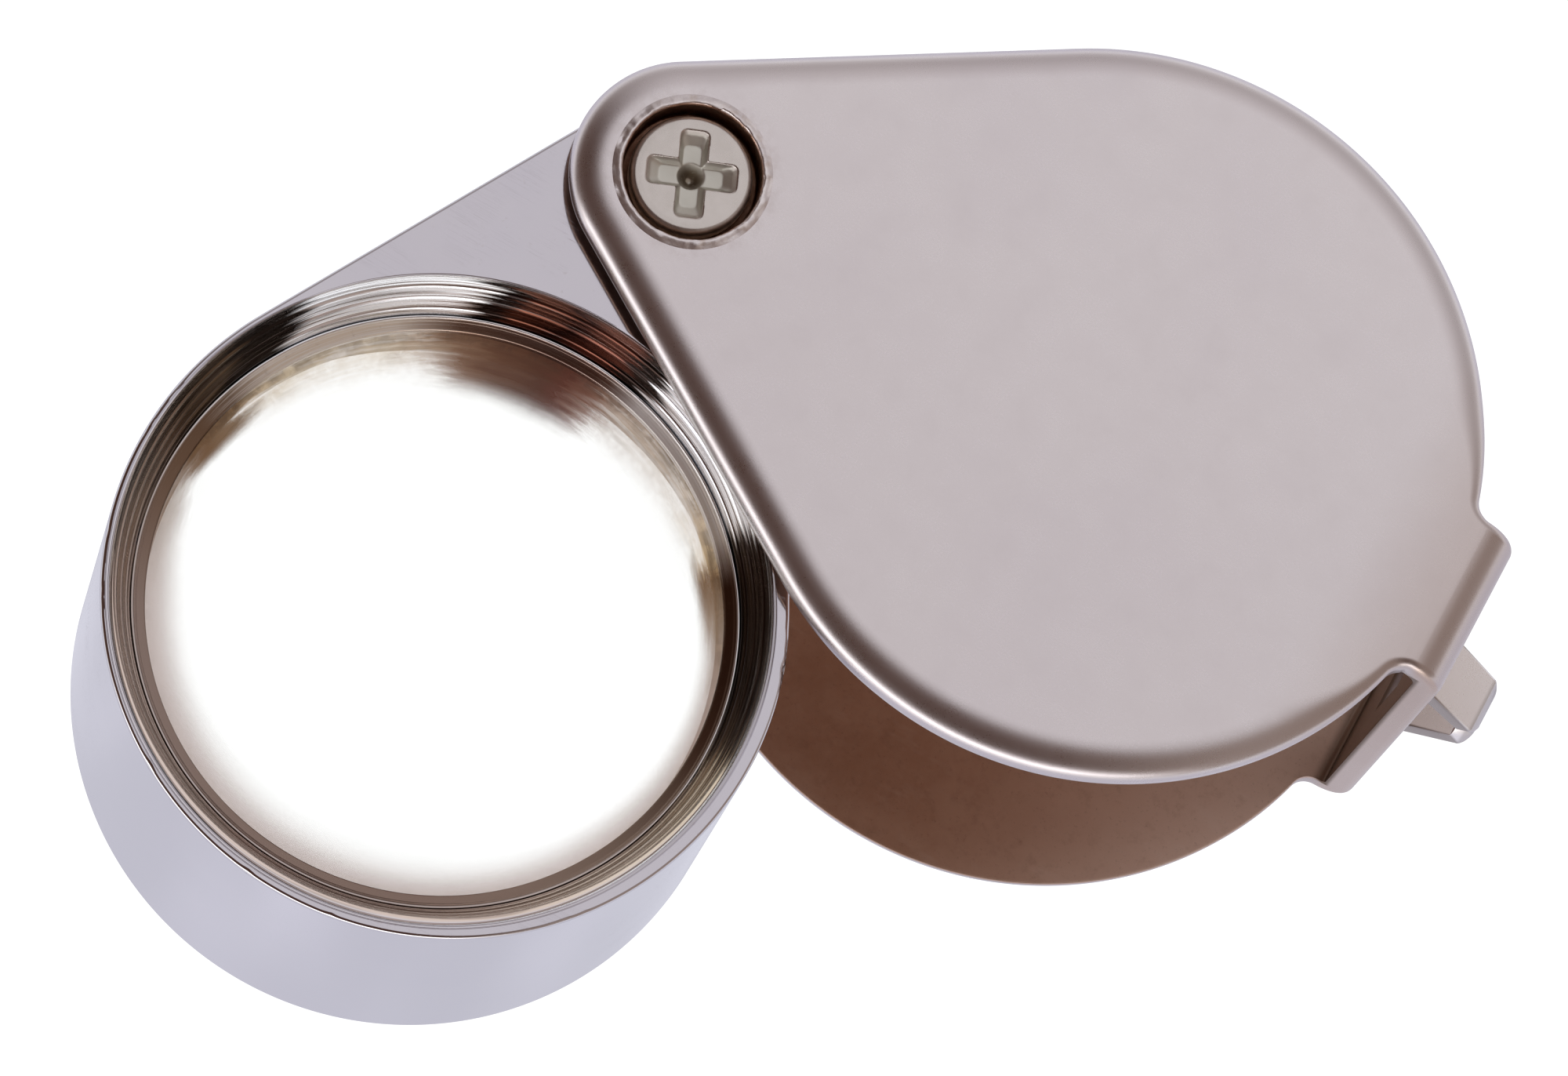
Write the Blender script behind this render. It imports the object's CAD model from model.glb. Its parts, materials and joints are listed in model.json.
"""A folding pocket magnifier lying open on a pale table.

The pivot axis is the Z axis at the origin. The case is one folded sheet: a rear plate at z = 0,
a front plate above it and a strap joining them at the +X end. The lens barrel sits between the
plates, drawn along +X and then turned about the pivot to its rest pose, close to -Y.
Sizes are in millimetres until a mesh is finished.
"""
import json
import math
import random

import bmesh
import bpy
from mathutils import Matrix, Vector, noise


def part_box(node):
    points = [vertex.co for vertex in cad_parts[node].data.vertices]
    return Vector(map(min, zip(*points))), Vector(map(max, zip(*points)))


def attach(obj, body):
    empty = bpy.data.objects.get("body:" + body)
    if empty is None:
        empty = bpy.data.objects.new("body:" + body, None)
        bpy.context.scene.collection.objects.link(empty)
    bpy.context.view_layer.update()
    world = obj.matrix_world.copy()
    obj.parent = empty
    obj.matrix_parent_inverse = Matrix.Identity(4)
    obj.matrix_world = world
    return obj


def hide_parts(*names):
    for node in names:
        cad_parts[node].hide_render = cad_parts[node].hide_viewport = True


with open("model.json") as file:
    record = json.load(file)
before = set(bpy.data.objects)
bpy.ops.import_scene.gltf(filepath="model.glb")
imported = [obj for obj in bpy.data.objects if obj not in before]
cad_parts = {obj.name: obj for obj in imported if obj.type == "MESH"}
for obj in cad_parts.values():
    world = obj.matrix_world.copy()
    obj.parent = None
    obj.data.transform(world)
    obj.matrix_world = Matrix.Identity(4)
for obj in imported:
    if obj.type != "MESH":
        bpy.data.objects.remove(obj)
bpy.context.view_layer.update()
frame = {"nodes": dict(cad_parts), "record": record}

MOUNT = {m["name"]: [c * 1000 for c in m["pos_m"]] for m in frame["record"]["mounts"]}


def box_mm(node):
    low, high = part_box(node)
    return low * 1000, high * 1000


# ------------------------------------------------------------------ case sizes
case_low, case_high = box_mm("case_shell")
CASE_TOP = MOUNT["front_plate_face"][2]     # outer face of the front plate
STRAP_X = MOUNT["strap_end_face"][0]        # outer face of the strap
SMALL_R = -case_low.x                       # plate radius round the pivot
BIG_R = case_high.y                         # plate radius at the far end
CENTRES = 16.62                             # pivot to the centre of the big end
SHEET = 0.98                                # sheet thickness
TAB_HALF = 3.05                             # half width of tab and strap
TAB_FILLET = 0.72
FRONT_BEND = 1.6                            # outer bend radii
REAR_BEND = 1.2
EDGE_WIDTH = 1.34                           # rounded outer edge of the plates
EDGE_DROP = 0.76
TAB_EDGE_WIDTH = 0.36                       # the same on tab and strap
TAB_EDGE_DROP = 0.34
SEAT_DEPTH = 1.05                           # pivot seat below the plate face
SEAT_FLOOR = 0.4                            # thickness of the seat's floor
SEAT_HOLE_R = 2.62                          # hole in each plate, under the seats
CREST = case_high.z - CASE_TOP              # raised lip round the front seat

FILLET_Y = TAB_HALF + TAB_FILLET
FILLET_X = CENTRES + math.sqrt((BIG_R + TAB_FILLET) ** 2 - FILLET_Y ** 2)
REAR_BEND_X = STRAP_X - REAR_BEND

# Lengths along the outer skin of the flat sheet, from the pivot
FRONT_END = STRAP_X - FRONT_BEND
STRAP_START = FRONT_END + FRONT_BEND * math.pi / 2
STRAP_END = STRAP_START + CASE_TOP - FRONT_BEND - REAR_BEND
REAR_START = STRAP_END + REAR_BEND * math.pi / 2

LOOP_X = case_high.x                        # crown of the lanyard loop
LOOP_Y, LOOP_Z = MOUNT["lanyard_loop_seat"][1:]
LOOP_T = 0.68                               # thickness at the crown
LOOP_HALF_W = 1.16
LOOP_HALF_Z = 2.85
LOOP_CROWN = 0.75
LOOP_SEAT = 0.42                            # half length of the crown's inner face
LOOP_WINDOW = 1.9                           # half height of the hole behind the loop

# ------------------------------------------------------------------ barrel sizes
REST = math.radians(-90.5)                  # barrel's turn about the pivot
barrel_low, barrel_high = box_mm("lens_barrel")
REAR_Z, FRONT_Z = barrel_low.z, barrel_high.z
BARREL_R = 11.81
BARREL_CENTRES = 17.2                       # pivot to the centre of the outer wall
EAR_R = 3.7                                 # outer wall round the pivot
BORE_AXIS = (17.1, -0.2)                    # bore's centre, a little off the wall's
BORE_R = 10.53
MOUTH_R = 11.3
MOUTH_DEPTH = 1.95                          # depth of the front cone
GROOVES = (0.27, 0.56, 0.84)                # cut lines, as parts of MOUTH_DEPTH
REAR_MOUTH = 2.2                            # depth of the rear cone
LENS_R = 10.45
RING_R = 10.5                               # both retaining rings, outside
REAR_RING_IN = 9.85
FRONT_RING_IN = 9.98
SPACER_IN = 9.75
front_ring_low, front_ring_high = box_mm("front_retaining_ring")
rear_ring_low = box_mm("rear_retaining_ring")[0]
spacer_low, spacer_high = box_mm("lens_spacer")

random.seed(7)


# ------------------------------------------------------------------ outline helpers
def arc(x, y, radius, start, end, steps):
    """Points on an arc, angles in degrees."""
    angles = [math.radians(start + (end - start) * i / steps) for i in range(steps + 1)]
    return [(x + radius * math.cos(a), y + radius * math.sin(a)) for a in angles]


def line_between(start, end, steps):
    """The inner points of a straight line in equal steps."""
    return [(start[0] + (end[0] - start[0]) * i / steps,
             start[1] + (end[1] - start[1]) * i / steps) for i in range(1, steps)]


def right_normals(loop):
    """Unit normals to the right of the direction of travel."""
    normals = []
    for i in range(len(loop)):
        before, after = loop[i - 1], loop[(i + 1) % len(loop)]
        dx, dy = after[0] - before[0], after[1] - before[1]
        length = math.hypot(dx, dy)
        normals.append((dy / length, -dx / length))
    return normals


def wobble(angle, seed, octaves, frequency):
    """Periodic noise round a circle, about -1 to 1."""
    x, y = math.cos(angle) * frequency, math.sin(angle) * frequency
    return noise.fractal(Vector((x + seed * 7.3, y - seed * 3.1, seed)), 1.0, 2.0, octaves) * 1.4


# ------------------------------------------------------------------ mesh helpers
def to_object(name, shape, scale=0.001):
    bmesh.ops.scale(shape, vec=(scale,) * 3, verts=shape.verts)
    bmesh.ops.recalc_face_normals(shape, faces=shape.faces)
    mesh = bpy.data.meshes.new(name)
    shape.to_mesh(mesh)
    shape.free()
    obj = bpy.data.objects.new(name, mesh)
    bpy.context.scene.collection.objects.link(obj)
    return obj


def loft(rings, closed_profile=True, closed_rings=True):
    """Join neighbouring rings of equal length with quads."""
    shape = bmesh.new()
    loops = [[shape.verts.new(point) for point in ring] for ring in rings]
    size = len(loops[0])
    for k in range(len(loops) if closed_profile else len(loops) - 1):
        here, there = loops[k], loops[(k + 1) % len(loops)]
        for i in range(size if closed_rings else size - 1):
            j = (i + 1) % size
            shape.faces.new((here[i], here[j], there[j], there[i]))
    return shape, loops


def capped_loft(rings):
    shape, loops = loft(rings, closed_profile=False)
    shape.faces.new(loops[0])
    shape.faces.new(list(reversed(loops[-1])))
    return shape


def lathe(name, profile, segments, axis=(0.0, 0.0), tweak=None):
    """(radius, z) profile turned about a vertical axis.

    A profile that starts and ends on the axis makes a solid; any other is closed into a ring.
    """
    solid = profile[0][0] == 0.0
    rings = []
    for radius, height in profile[1:-1] if solid else profile:
        ring = []
        for i in range(segments):
            angle = 2 * math.pi * i / segments
            reach, z = tweak(radius, height, angle) if tweak else (radius, height)
            ring.append((axis[0] + reach * math.cos(angle), axis[1] + reach * math.sin(angle), z))
        rings.append(ring)
    shape, loops = loft(rings, closed_profile=not solid)
    if solid:
        for loop, z in ((loops[0], profile[0][1]), (loops[-1], profile[-1][1])):
            tip = shape.verts.new((axis[0], axis[1], z))
            for i in range(segments):
                shape.faces.new((loop[i], loop[(i + 1) % segments], tip))
    return to_object(name, shape)


def bake(obj):
    """Replace the mesh by the result of its modifiers."""
    graph = bpy.context.evaluated_depsgraph_get()
    mesh = bpy.data.meshes.new_from_object(obj.evaluated_get(graph))
    old = obj.data
    obj.modifiers.clear()
    obj.data = mesh
    mesh.materials.clear()
    bpy.data.meshes.remove(old)


def cut(obj, tool):
    modifier = obj.modifiers.new("cut", 'BOOLEAN')
    modifier.operation = 'DIFFERENCE'
    modifier.object = tool
    modifier.solver = 'EXACT'
    bake(obj)
    bpy.data.objects.remove(tool, do_unlink=True)


def tidy(obj):
    shape = bmesh.new()
    shape.from_mesh(obj.data)
    bmesh.ops.remove_doubles(shape, verts=shape.verts, dist=1e-7)
    bmesh.ops.dissolve_degenerate(shape, edges=shape.edges, dist=1e-8)
    shape.to_mesh(obj.data)
    shape.free()


def smooth(obj, angle, weighted=True):
    obj.data.shade_smooth()
    obj.data.set_sharp_from_angle(angle=math.radians(angle))
    if weighted:
        modifier = obj.modifiers.new("face_weighted", 'WEIGHTED_NORMAL')
        modifier.mode = 'FACE_AREA'
        modifier.keep_sharp = True
    return obj


def turn(obj):
    """From the barrel's own frame (along +X) to its rest pose."""
    obj.data.transform(Matrix.Rotation(REST, 4, 'Z'))
    return obj


def cylinder_tool(radius, low, high, segments=96):
    profile = [(0.0, low), (radius, low), (radius, high), (0.0, high)]
    return lathe("cutter", profile, segments)


def box_tool(low, high):
    middle = [(a + b) / 2 for a, b in zip(low, high)]
    size = [b - a for a, b in zip(low, high)]
    shape = bmesh.new()
    place = Matrix.Translation(middle) @ Matrix.Diagonal((*size, 1))
    bmesh.ops.create_cube(shape, size=1.0, matrix=place)
    return to_object("cutter", shape)


# ------------------------------------------------------------------ case
def fold(along, across, depth):
    """Flat sheet to folded case; depth is measured under the outer skin."""
    if along <= FRONT_END:
        return (along, across, CASE_TOP - depth)
    if along <= STRAP_START:
        angle = (along - FRONT_END) / FRONT_BEND
        radius = FRONT_BEND - depth
        return (FRONT_END + radius * math.sin(angle), across,
                CASE_TOP - FRONT_BEND + radius * math.cos(angle))
    if along <= STRAP_END:
        return (STRAP_X - depth, across, CASE_TOP - FRONT_BEND - (along - STRAP_START))
    if along <= REAR_START:
        angle = (along - STRAP_END) / REAR_BEND
        radius = REAR_BEND - depth
        return (REAR_BEND_X + radius * math.cos(angle), across,
                REAR_BEND - radius * math.sin(angle))
    return (REAR_BEND_X - (along - REAR_START), across, depth)


def along_front(x):
    if x <= FRONT_END:
        return x
    return FRONT_END + FRONT_BEND * math.asin(min(1.0, (x - FRONT_END) / FRONT_BEND))


def along_rear(x):
    if x <= REAR_BEND_X:
        return REAR_START + REAR_BEND_X - x
    return REAR_START - REAR_BEND * math.asin(min(1.0, (x - REAR_BEND_X) / REAR_BEND))


def case_outline():
    """Half outline of the flat sheet, y >= 0: front plate, strap, rear plate.

    Also gives the indices of the last point before the front bend and the first past the rear.
    """
    tangent = math.degrees(math.acos((SMALL_R - BIG_R) / CENTRES))
    tab_angle = math.degrees(math.atan2(FILLET_Y, FILLET_X - CENTRES))
    small = arc(0, 0, SMALL_R, 180, tangent, 40)
    big = arc(CENTRES, 0, BIG_R, tangent, tab_angle, 110)
    plate = small + line_between(small[-1], big[0], 40) + big
    plate += arc(FILLET_X, FILLET_Y, TAB_FILLET, 180 + tab_angle, 270, 24)[1:]
    front = [(along_front(x), y) for x, y in plate]
    rear = [(along_rear(x), y) for x, y in reversed(plate)]
    strap = []
    # start, end, steps, points kept
    for start, end, steps, kept in ((front[-1][0], STRAP_START, 12, 12),
                                    (STRAP_START, STRAP_END, 10, 10),
                                    (STRAP_END, rear[0][0], 10, 9)):
        strap += [(start + (end - start) * i / steps, TAB_HALF) for i in range(1, kept + 1)]
    last_front = max(i for i, point in enumerate(front) if point[0] <= FRONT_END + 1e-9)
    first_rear = min(i for i, point in enumerate(rear) if point[0] >= REAR_START - 1e-9)
    return front + strap + rear, last_front, len(front) + len(strap) + first_rear


def edge_size(along):
    """Width and drop of the rounded outer edge: full on the plates, small on tab and strap."""
    if FRONT_END + 0.3 < along < REAR_START - 0.3:
        blend = 1.0
    else:
        x = along if along < STRAP_START else REAR_START + REAR_BEND_X - along
        blend = min(1.0, max(0.0, (x - (FILLET_X - 2.3)) / 2.1))
    blend = blend * blend * (3 - 2 * blend)
    return (EDGE_WIDTH + (TAB_EDGE_WIDTH - EDGE_WIDTH) * blend,
            EDGE_DROP + (TAB_EDGE_DROP - EDGE_DROP) * blend)


def build_case():
    half, last_front, first_rear = case_outline()
    size = len(half)
    loop = half + [(along, -across) for along, across in reversed(half[1:-1])]
    sheet = list(zip(loop, right_normals(loop)))     # the loop runs clockwise: inward normals
    steps = 9
    rings = []
    for k in range(steps + 1):
        angle = math.pi / 2 * (1 - k / steps)
        ring = []
        for (along, across), (nx, ny) in sheet:
            width, drop = edge_size(along)
            inset = width * (1 - math.cos(angle) ** 1.15)
            depth = drop * (1 - math.sin(angle))
            ring.append(fold(along + nx * inset, across + ny * inset, depth))
        rings.append(ring)
    # small break of the inner edge: (inset, depth)
    for inset, depth in ((0.0, SHEET - 0.08), (0.03, SHEET - 0.02), (0.09, SHEET)):
        rings.append([fold(along + nx * inset, across + ny * inset, depth)
                      for (along, across), (nx, ny) in sheet])
    shape, loops = loft(rings, closed_profile=False)
    # fill both skins: one face per plate, strips across tab, bends and strap
    for ring in (loops[0], loops[-1]):
        upper = ring[:size]
        lower = [ring[0]] + list(reversed(ring[size:])) + [ring[size - 1]]
        shape.faces.new(upper[:last_front + 1] + list(reversed(lower[1:last_front + 1])))
        shape.faces.new(upper[first_rear:] + list(reversed(lower[first_rear:-1])))
        for i in range(last_front, first_rear):
            shape.faces.new((upper[i], upper[i + 1], lower[i + 1], lower[i]))
    case = to_object("case_body", shape)
    cut(case, cylinder_tool(SEAT_HOLE_R, CASE_TOP - SHEET - 0.5, CASE_TOP + 0.5))
    cut(case, cylinder_tool(SEAT_HOLE_R, -0.5, SHEET + 0.5))
    window = LOOP_HALF_W + 0.05
    cut(case, box_tool((STRAP_X - SHEET - 1, LOOP_Y - window, LOOP_Z - LOOP_WINDOW),
                       (STRAP_X + 0.6, LOOP_Y + window, LOOP_Z + LOOP_WINDOW)))
    tidy(case)
    return smooth(case, 34)


def ragged_lip(radius, z, angle):
    """Uneven lip on the front seat; the well below is nearly round."""
    if z <= CASE_TOP - 0.1:
        return (radius + wobble(angle, 1.0, 2, 3.0) * 0.01, z)
    rise = min(1.0, (z - CASE_TOP + 0.1) / 0.1)
    lift = (wobble(angle, 2.0, 4, 5.0) * 0.030
            + max(0.0, wobble(angle, 5.0, 3, 9.0)) * 0.018)
    push = ((wobble(angle, 3.3, 4, 4.0) * 0.03 + wobble(angle, 9.1, 3, 14.0) * 0.012)
            * max(0.0, min(1.0, (2.8 - radius) / 0.1)))
    raised = z + (lift * rise if z > CASE_TOP + 0.015 else 0.0)
    return (radius + push * rise, min(raised, CASE_TOP + CREST))


def build_front_cup():
    face = CASE_TOP
    well = CASE_TOP - SEAT_DEPTH
    under = well - SEAT_FLOOR
    profile = [  # radius, z
        (2.93, face - 0.05), (2.86, face - 0.022), (2.79, face + 0.002), (2.72, face + 0.022),
        (2.64, face + CREST * 0.5), (2.57, face + CREST * 0.85), (2.51, face + CREST * 0.9),
        (2.46, face + CREST * 0.55), (2.43, face - 0.01), (2.42, face - 0.07),
        (2.41, face - 0.2), (2.40, well + 0.16), (2.38, well + 0.05), (2.32, well),
        (1.8, well), (1.2, well), (1.15, well - 0.05), (1.15, under), (2.3, under),
        (2.6, under + 0.06), (2.86, under + 0.2), (2.93, well - 0.1),
        (2.93, face - SHEET + 0.2)]
    return smooth(lathe("front_pivot_seat", profile, 220, tweak=ragged_lip), 50, False)


def build_rear_cup():
    floor_z = SEAT_DEPTH
    inner = SEAT_DEPTH + SEAT_FLOOR
    profile = [  # radius, z
        (2.93, 0.3), (2.86, 0.04), (2.78, 0.0), (2.56, 0.0), (2.48, 0.03), (2.45, 0.1),
        (2.44, floor_z - 0.1), (2.36, floor_z), (1.70, floor_z), (1.66, floor_z + 0.05),
        (1.66, inner), (2.4, inner), (2.75, inner - 0.1), (2.93, floor_z + 0.1)]
    return smooth(lathe("rear_pivot_seat", profile, 140), 40, False)


def loop_mirror(points):
    return [(x, 2 * LOOP_Z - z) for x, z in reversed(points)]


def loop_half_width(x):
    """The band narrows at the crown with rounded corners."""
    corner = 0.5
    back = LOOP_X - x
    if back > corner:
        return LOOP_HALF_W
    return LOOP_HALF_W - corner + math.sqrt(max(0.0, corner * corner - (corner - back) ** 2))


def build_loop():
    """The band pressed out of the strap: two legs, a rounded crown and softened edges."""
    root_x, foot_x, leg_x = STRAP_X - 0.55, STRAP_X - 0.12, STRAP_X + 0.06
    end_z = LOOP_Z + LOOP_HALF_Z
    bend = 0.8                                       # outer radius at each end of the crown
    bend_z = LOOP_CROWN - 0.36
    crown = (arc(LOOP_X - bend, LOOP_Z + bend_z, bend, 47, 0, 10)
             + arc(LOOP_X - bend, LOOP_Z - bend_z, bend, 0, -47, 10))
    leg = [(root_x, end_z + 0.02), (foot_x, end_z + 0.02), (leg_x, end_z - 0.1)]
    outer = leg + crown + loop_mirror(leg)

    # the inner curve has as many points and is walked with the outer one
    inner_z = end_z - LOOP_T * math.sqrt(2)
    inner_leg = [(root_x, inner_z + 0.12), (foot_x, inner_z + 0.05), (leg_x, inner_z - 0.08)]
    inner = list(inner_leg)
    for i in range(len(crown)):
        part = i / (len(crown) - 1)
        edge = abs(2 * part - 1) ** 6
        z = LOOP_Z + LOOP_SEAT * (1 - 2 * part)
        inner.append((LOOP_X - LOOP_T - 0.05 * edge, z + (0.06 if part < 0.5 else -0.06) * edge))
    inner += loop_mirror(inner_leg)

    # a rounded corner: (sideways inset, inset into the thickness), as parts of its size
    corner = ((0.0, 1.0), (0.3, 0.35), (1.0, 0.0))
    rings = []
    for skin, other, soft, first in ((outer, inner, 0.11, 1), (inner, outer, 0.06, -1)):
        for side, insets in ((first, corner), (-first, corner[::-1])):
            for sideways, inward in insets:
                ring = []
                for (x, z), (far_x, far_z), (outer_x, _) in zip(skin, other, outer):
                    part = soft * inward / max(1e-6, math.hypot(far_x - x, far_z - z))
                    y = LOOP_Y + side * (loop_half_width(outer_x) - soft * sideways)
                    ring.append((x + (far_x - x) * part, y, z + (far_z - z) * part))
                rings.append(ring)
    shape, loops = loft(rings, closed_rings=False)
    for end in (0, len(outer) - 1):
        shape.faces.new([loop[end] for loop in loops])
    return smooth(to_object("lanyard_loop_band", shape), 35)


# ------------------------------------------------------------------ pivot screw
def rounded_box(half_length, half_width, corner):
    points = []
    for i, (sx, sy) in enumerate(((1, 1), (-1, 1), (-1, -1), (1, -1))):
        points += arc(sx * (half_length - corner), sy * (half_width - corner), corner,
                      90 * i, 90 * i + 90, 4)
    return points


def build_screw():
    """Worked at 1 unit = 1 mm so that the voxel size is safe, then scaled."""
    top = CASE_TOP - 0.25
    seat = CASE_TOP - SEAT_DEPTH + 0.02
    profile = [  # radius, z
        (0.0, top), (1.2, top), (1.75, top - 0.010), (1.97, top - 0.03), (2.08, top - 0.08),
        (2.13, top - 0.16), (2.15, top - 0.28), (2.15, seat), (0.92, seat)]
    z = seat - 0.7
    profile.append((0.92, z + 0.1))
    while z > seat - 5.2:                            # threads
        profile += [(0.92, z), (0.78, z - 0.2)]
        z -= 0.4
    profile += [(0.7, z), (0.6, z - 0.12), (0.0, z - 0.12)]
    screw = lathe("pivot_screw_head", profile, 96)
    screw.data.transform(Matrix.Scale(1000, 4))

    # the two bars of the cross recess: height over the head, half length, half width
    stations = ((0.4, 1.66, 0.53), (-0.013, 1.60, 0.50), (-0.17, 1.44, 0.44), (-0.34, 1.12, 0.33))
    recess_turn = Matrix.Rotation(math.radians(22.8), 4, 'Z')
    for k in range(2):
        shape = capped_loft([[(x, y, top + height) for x, y in rounded_box(length, width, 0.20)]
                             for height, length, width in stations])
        bmesh.ops.transform(shape, verts=shape.verts,
                            matrix=recess_turn @ Matrix.Rotation(math.radians(90 * k), 4, 'Z'))
        cut(screw, to_object("cutter", shape, 1.0))
    # the recess's core, then the rounding between the bars:
    # bottom radius, top radius, depth, middle below the head's top
    for low_radius, high_radius, depth, drop in ((0.12, 0.74, 0.9, 0.417),
                                                 (0.46, 0.78, 0.37, 0.151)):
        shape = bmesh.new()
        bmesh.ops.create_cone(shape, cap_ends=True, segments=32, radius1=low_radius,
                              radius2=high_radius, depth=depth,
                              matrix=Matrix.Translation((0, 0, top - drop)))
        cut(screw, to_object("cutter", shape, 1.0))

    voxels = screw.modifiers.new("voxels", 'REMESH')
    voxels.mode = 'VOXEL'
    voxels.voxel_size = 0.030
    voxels.use_smooth_shade = True
    soften = screw.modifiers.new("soft", 'SMOOTH')
    soften.factor = 0.5
    soften.iterations = 7
    bake(screw)
    screw.data.transform(Matrix.Scale(0.001, 4))
    screw.data.shade_smooth()
    return screw


# ------------------------------------------------------------------ barrel
def bore_profile():
    """Cutter for the bore, front to rear: soft lip, cone with cut lines, tube, rear cone."""
    points = [  # radius, z
        (0.0, FRONT_Z + 1), (MOUTH_R + 0.16, FRONT_Z + 1), (MOUTH_R + 0.16, FRONT_Z + 0.001),
        (MOUTH_R + 0.09, FRONT_Z - 0.006), (MOUTH_R + 0.035, FRONT_Z - 0.03),
        (MOUTH_R, FRONT_Z - 0.08)]
    slope = (MOUTH_R - BORE_R) / MOUTH_DEPTH
    groove_depth, groove_half = 0.085, 0.075
    depth = 0.14
    k = 0
    while depth < MOUTH_DEPTH - 0.1:
        radius = MOUTH_R - slope * (depth - 0.08) * 1.04
        groove = max(0.0, *(groove_depth * (1 - abs(depth - part * MOUTH_DEPTH) / groove_half)
                            for part in GROOVES))
        ripple = 0.0045 * math.sin(k * 2.4) + 0.003 * math.sin(k * 1.1 + 1)
        points.append((radius + groove + ripple, FRONT_Z - depth))
        depth += 0.035
        k += 1
    z = FRONT_Z - MOUTH_DEPTH
    points += [(BORE_R + 0.03, z + 0.06), (BORE_R, z)]
    while z > REAR_Z + REAR_MOUTH + 0.5:
        z -= 0.5
        points.append((BORE_R, z))
    start_r, start_depth = BORE_R + 0.02, REAR_MOUTH - 0.05
    points += [(BORE_R, REAR_Z + REAR_MOUTH), (start_r, REAR_Z + REAR_MOUTH - 0.05)]
    for i in range(1, 16):
        part = i / 16
        radius = start_r + (MOUTH_R - 0.12 - BORE_R) * part + 0.004 * math.sin(i * 2.2)
        points.append((radius, REAR_Z + start_depth * (1 - part)))
    points += [(MOUTH_R - 0.1, REAR_Z + 0.03), (MOUTH_R, REAR_Z - 0.001),
               (MOUTH_R, REAR_Z - 1), (0.0, REAR_Z - 1)]
    return points


def barrel_outline():
    """Anticlockwise: big end, straight side, pivot ear, straight side."""
    tangent = math.degrees(math.acos((EAR_R - BARREL_R) / BARREL_CENTRES))
    big = arc(BARREL_CENTRES, 0, BARREL_R, -tangent, tangent, 300)
    ear = arc(0, 0, EAR_R, tangent, 360 - tangent, 60)
    return big + line_between(big[-1], ear[0], 70) + ear + line_between(ear[-1], big[0], 70)


def edge_wear(outline):
    """How far the front edge is knocked back at each outline point."""
    size = len(outline)
    # place along the outline, width, depth
    nicks = [(random.uniform(0, size), random.uniform(0.8, 2.2), random.uniform(0.02, 0.07))
             for _ in range(26)]
    worn = []
    for i, (x, y) in enumerate(outline):
        wear = 0.010 * noise.fractal(Vector((x * 1.3, y * 1.3, 4.0)), 1.0, 2.0, 4)
        for place, width, depth in nicks:
            away = min(abs(i - place), size - abs(i - place))
            if away < width * 2:
                wear += depth * math.exp(-(away / width) ** 2)
        worn.append(max(0.0, wear))
    return worn


def build_barrel():
    outline = barrel_outline()
    normals = right_normals(outline)                 # outward here
    worn = edge_wear(outline)
    edge = 0.15                                      # radius of the outer edges
    rings = []
    for k in range(6):
        angle = math.pi / 2 * k / 5
        ring = []
        for (x, y), (nx, ny), wear in zip(outline, normals, worn):
            inset = edge * (1 - math.sin(angle)) + wear * 0.7 * (1 - k / 5)
            drop = wear * (k / 5) * 0.5 if k < 5 else 0.0
            z = FRONT_Z - edge * (1 - math.cos(angle)) - drop
            ring.append((x - nx * inset, y - ny * inset, z))
        rings.append(ring)
    for part in (0.25, 0.5, 0.75):
        rings.append([(x, y, FRONT_Z - (FRONT_Z - REAR_Z) * part) for x, y in outline])
    for k in range(5):
        angle = math.pi / 2 * k / 4
        inset = 1 - math.cos(angle)
        rings.append([(x - nx * edge * inset, y - ny * edge * inset,
                       REAR_Z + edge * (1 - math.sin(angle)))
                      for (x, y), (nx, ny) in zip(outline, normals)])
    barrel = to_object("lens_barrel_body", capped_loft(rings))
    cut(barrel, lathe("cutter", bore_profile(), 288, BORE_AXIS))

    # shallow stepped lip, turned slightly off the bore's axis: (beyond MOUTH_R, z over front)
    lip = ((0.22, 0), (0.20, -0.035), (0.17, -0.012), (0.12, -0.022), (0.10, -0.065),
           (0.07, -0.045), (0.02, -0.11), (-0.06, -0.24))
    profile = [(0.0, FRONT_Z + 1), (MOUTH_R + 0.22, FRONT_Z + 1)]
    profile += [(MOUTH_R + beyond, FRONT_Z + height) for beyond, height in lip]
    profile.append((0.0, FRONT_Z - 0.24))
    cut(barrel, lathe("cutter", profile, 288, (BORE_AXIS[0] + 0.13, BORE_AXIS[1] + 0.06)))

    # pivot hole and the washer recess at each end of it
    cut(barrel, cylinder_tool(1.63, REAR_Z - 1, FRONT_Z + 1, 64))
    cut(barrel, cylinder_tool(2.75, FRONT_Z - 0.55, FRONT_Z + 1, 64))
    cut(barrel, cylinder_tool(2.75, REAR_Z - 1, REAR_Z + 0.55, 64))
    tidy(barrel)
    return turn(smooth(barrel, 30))


# ------------------------------------------------------------------ optics
def bowl(radius, rim_z, sag, steps):
    """Spherical cap profile from the rim to the axis; positive sag bulges up."""
    ball = (radius * radius + sag * sag) / (2 * abs(sag))
    sign = 1.0 if sag > 0 else -1.0
    at_rim = math.sqrt(ball * ball - radius * radius)
    points = []
    for i in range(steps + 1):
        reach = radius * (1 - i / steps)
        points.append((reach, rim_z + sign * (math.sqrt(ball * ball - reach ** 2) - at_rim)))
    return points


def build_lens(name, front, rear):
    """front and rear are (rim z, sag)."""
    steps = 28
    top = bowl(LENS_R - 0.06, *front, steps)
    bottom = bowl(LENS_R - 0.06, *rear, steps)
    rim = [(LENS_R, front[0] - 0.05), (LENS_R, rear[0] + 0.05)]
    profile = top[::-1] + rim + bottom
    return turn(smooth(lathe(name, profile, 160, BORE_AXIS), 30, False))


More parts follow.
